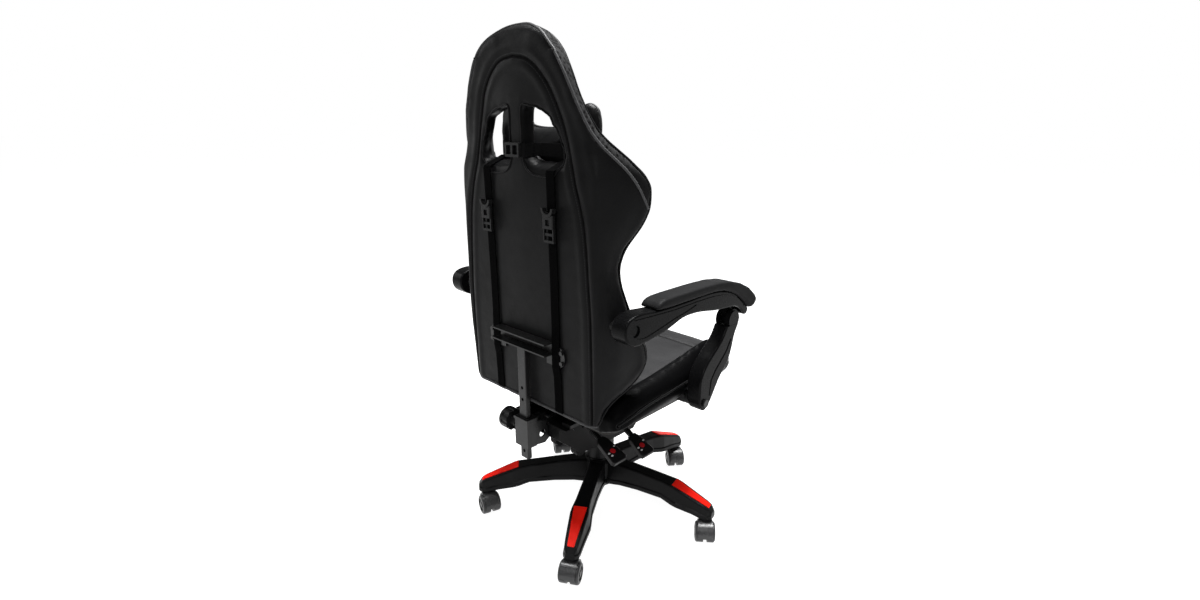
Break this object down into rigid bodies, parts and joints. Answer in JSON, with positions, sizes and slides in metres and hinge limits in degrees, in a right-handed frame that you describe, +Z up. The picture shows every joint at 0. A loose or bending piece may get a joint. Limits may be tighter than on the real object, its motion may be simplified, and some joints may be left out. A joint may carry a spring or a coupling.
{
  "type": "gaming chair",
  "caption": "High-back office gaming chair on a castored star base, with linked armrests that follow the reclining back, and strapped head and lumbar cushions.",
  "frame": {"origin": "on the floor under the swivel axis", "axes": "+Z up, the sitter faces -Y, the sitter's left is +X"},
  "size_m": [0.6235, 0.6137, 1.163],
  "materials": {
    "black_leather": "satin grained black leatherette, a coated fabric over foam",
    "webbing": "black woven webbing",
    "base_nylon": "finely textured black nylon",
    "black_plastic": "satin black plastic",
    "arm_plastic": "satin black plastic",
    "arm_pad": "soft black polyurethane",
    "castor_grey": "satin dark grey nylon",
    "castor_wheel": "satin dark grey nylon",
    "red_trim": "satin red plastic",
    "black_steel": "semi-gloss black powder coat",
    "zinc": "zinc plated steel",
    "board": "black stained plywood"
  },
  "bodies": {
    "base": {"star_base": "base_nylon", "base_inserts": "red_trim", "gas_column": "black_steel", "guide_bush": "black_plastic", "lower_dust_cover": "black_plastic"},
    "piston": {"piston_rod": "zinc", "cylinder_clip": "zinc"},
    "seat": {"pressure_tube": "black_steel", "upper_dust_cover": "black_plastic", "mechanism": "black_steel", "recline_pin": "zinc", "seat_cushion": "black_leather", "seat_board": "board", "seat_rails": "black_steel", "seat_bolts": "zinc", "arm_brackets": "black_steel"},
    "dust_sleeve": {"middle_dust_cover": "black_plastic"},
    "recline_lever": {"recline_rod": "black_steel", "recline_grip": "black_plastic"},
    "height_lever": {"height_rod": "black_steel", "height_grip": "black_plastic"},
    "clamp": {"clamp_knob": "black_plastic"},
    "backrest": {"back_bracket": "black_steel", "post": "black_steel", "crossbar": "black_steel", "back_fixings": "black_steel", "backrest_cushion": "black_leather", "head_pillow": "black_leather", "lumbar_pillow": "black_leather", "back_straps": "webbing", "back_buckles": "black_plastic", "head_band": "webbing", "head_buckle": "black_plastic"},
    "arm_right": {"arm_body_right": "arm_plastic", "arm_pad_right": "arm_pad"},
    "arm_left": {"arm_body_left": "arm_plastic", "arm_pad_left": "arm_pad"},
    "upright_right": {"arm_upright_right": "arm_plastic"},
    "upright_left": {"arm_upright_left": "arm_plastic"},
    "castor_1": {"caster_hood_1": "castor_grey", "caster_pins_1": "zinc"},
    "castor_1_wheel_a": {"wheel_a_1": "castor_wheel"},
    "castor_1_wheel_b": {"wheel_b_1": "castor_wheel"},
    "castor_2": {"caster_hood_2": "castor_grey", "caster_pins_2": "zinc"},
    "castor_2_wheel_a": {"wheel_a_2": "castor_wheel"},
    "castor_2_wheel_b": {"wheel_b_2": "castor_wheel"},
    "castor_3": {"caster_hood_3": "castor_grey", "caster_pins_3": "zinc"},
    "castor_3_wheel_a": {"wheel_a_3": "castor_wheel"},
    "castor_3_wheel_b": {"wheel_b_3": "castor_wheel"},
    "castor_4": {"caster_hood_4": "castor_grey", "caster_pins_4": "zinc"},
    "castor_4_wheel_a": {"wheel_a_4": "castor_wheel"},
    "castor_4_wheel_b": {"wheel_b_4": "castor_wheel"},
    "castor_5": {"caster_hood_5": "castor_grey", "caster_pins_5": "zinc"},
    "castor_5_wheel_a": {"wheel_a_5": "castor_wheel"},
    "castor_5_wheel_b": {"wheel_b_5": "castor_wheel"}
  },
  "joints": [
    {"name": "seat_swivel", "type": "hinge", "parent": "base", "child": "piston", "pos_m": [0, 0, 0.1], "axis": [0, 0, 1], "continuous": true},
    {"name": "seat_height", "type": "slide", "parent": "piston", "child": "seat", "axis": [0, 0, 1], "range_m": [0, 0.08]},
    {"name": "sleeve_slide", "type": "slide", "parent": "base", "child": "dust_sleeve", "axis": [0, 0, 1], "range_m": [0, 0.04]},
    {"name": "backrest_recline", "type": "hinge", "parent": "seat", "child": "backrest", "pos_m": [0, 0.16, 0.305], "axis": [-1, 0, 0], "range_deg": [0, 40]},
    {"name": "recline_lever_lift", "type": "hinge", "parent": "seat", "child": "recline_lever", "pos_m": [-0.044, 0.118, 0.301], "axis": [0, 1, 0], "range_deg": [0, 8], "stiffness_Nm_per_rad": 3, "springref_deg": -6.88},
    {"name": "height_lever_lift", "type": "hinge", "parent": "seat", "child": "height_lever", "pos_m": [-0.044, 0.048, 0.301], "axis": [0, 1, 0], "range_deg": [0, 8], "stiffness_Nm_per_rad": 3, "springref_deg": -6.88},
    {"name": "clamp_turn", "type": "hinge", "parent": "backrest", "child": "clamp", "pos_m": [0, 0.243, 0.316], "axis": [1, 0, 0], "continuous": true},
    {"name": "arm_right_pivot", "type": "hinge", "parent": "backrest", "child": "arm_right", "pos_m": [-0.2675, 0.198, 0.598], "axis": [-1, 0, 0], "range_deg": [-22, 0]},
    {"name": "upright_right_pivot", "type": "hinge", "parent": "seat", "child": "upright_right", "pos_m": [-0.269, -0.043, 0.368], "axis": [-1, 0, 0], "range_deg": [0, 54]},
    {"name": "arm_left_pivot", "type": "hinge", "parent": "backrest", "child": "arm_left", "pos_m": [0.2675, 0.198, 0.598], "axis": [-1, 0, 0], "range_deg": [-22, 0]},
    {"name": "upright_left_pivot", "type": "hinge", "parent": "seat", "child": "upright_left", "pos_m": [0.269, -0.043, 0.368], "axis": [-1, 0, 0], "range_deg": [0, 54]},
    {"name": "castor_1_swivel", "type": "hinge", "parent": "base", "child": "castor_1", "pos_m": [0.18962, 0.22598, 0.06], "axis": [0, 0, 1], "continuous": true},
    {"name": "castor_1_roll_a", "type": "hinge", "parent": "castor_1", "child": "castor_1_wheel_a", "pos_m": [0.17623, 0.23008, 0.0245], "axis": [-0.2924, -0.9563, 0], "continuous": true},
    {"name": "castor_1_roll_b", "type": "hinge", "parent": "castor_1", "child": "castor_1_wheel_b", "pos_m": [0.17623, 0.23008, 0.0245], "axis": [-0.2924, -0.9563, 0], "continuous": true},
    {"name": "castor_2_swivel", "type": "hinge", "parent": "base", "child": "castor_2", "pos_m": [-0.15633, 0.25017, 0.06], "axis": [0, 0, 1], "continuous": true},
    {"name": "castor_2_roll_a", "type": "hinge", "parent": "castor_2", "child": "castor_2_wheel_a", "pos_m": [-0.16333, 0.2623, 0.0245], "axis": [-0.866, -0.5, 0], "continuous": true},
    {"name": "castor_2_roll_b", "type": "hinge", "parent": "castor_2", "child": "castor_2_wheel_b", "pos_m": [-0.16333, 0.2623, 0.0245], "axis": [-0.866, -0.5, 0], "continuous": true},
    {"name": "castor_3_swivel", "type": "hinge", "parent": "base", "child": "castor_3", "pos_m": [-0.28624, -0.07137, 0.06], "axis": [0, 0, 1], "continuous": true},
    {"name": "castor_3_roll_a", "type": "hinge", "parent": "castor_3", "child": "castor_3_wheel_a", "pos_m": [-0.29505, -0.06049, 0.0245], "axis": [-0.7771, -0.6293, 0], "continuous": true},
    {"name": "castor_3_roll_b", "type": "hinge", "parent": "castor_3", "child": "castor_3_wheel_b", "pos_m": [-0.29505, -0.06049, 0.0245], "axis": [-0.7771, -0.6293, 0], "continuous": true},
    {"name": "castor_4_swivel", "type": "hinge", "parent": "base", "child": "castor_4", "pos_m": [-0.02058, -0.29428, 0.06], "axis": [0, 0, 1], "continuous": true},
    {"name": "castor_4_roll_a", "type": "hinge", "parent": "castor_4", "child": "castor_4_wheel_a", "pos_m": [-0.03161, -0.28566, 0.0245], "axis": [-0.6157, -0.788, 0], "continuous": true},
    {"name": "castor_4_roll_b", "type": "hinge", "parent": "castor_4", "child": "castor_4_wheel_b", "pos_m": [-0.03161, -0.28566, 0.0245], "axis": [-0.6157, -0.788, 0], "continuous": true},
    {"name": "castor_5_swivel", "type": "hinge", "parent": "base", "child": "castor_5", "pos_m": [0.27352, -0.11051, 0.06], "axis": [0, 0, 1], "continuous": true},
    {"name": "castor_5_roll_a", "type": "hinge", "parent": "castor_5", "child": "castor_5_wheel_a", "pos_m": [0.26165, -0.10309, 0.0245], "axis": [-0.5299, -0.848, 0], "continuous": true},
    {"name": "castor_5_roll_b", "type": "hinge", "parent": "castor_5", "child": "castor_5_wheel_b", "pos_m": [0.26165, -0.10309, 0.0245], "axis": [-0.5299, -0.848, 0], "continuous": true}
  ],
  "couplings": [
    {"joint": "sleeve_slide", "follows": "seat_height", "ratio": 0.5},
    {"joint": "arm_right_pivot", "follows": "backrest_recline", "ratio": -0.54},
    {"joint": "arm_left_pivot", "follows": "backrest_recline", "ratio": -0.54},
    {"joint": "upright_right_pivot", "follows": "backrest_recline", "ratio": 1.345},
    {"joint": "upright_left_pivot", "follows": "backrest_recline", "ratio": 1.345}
  ]
}
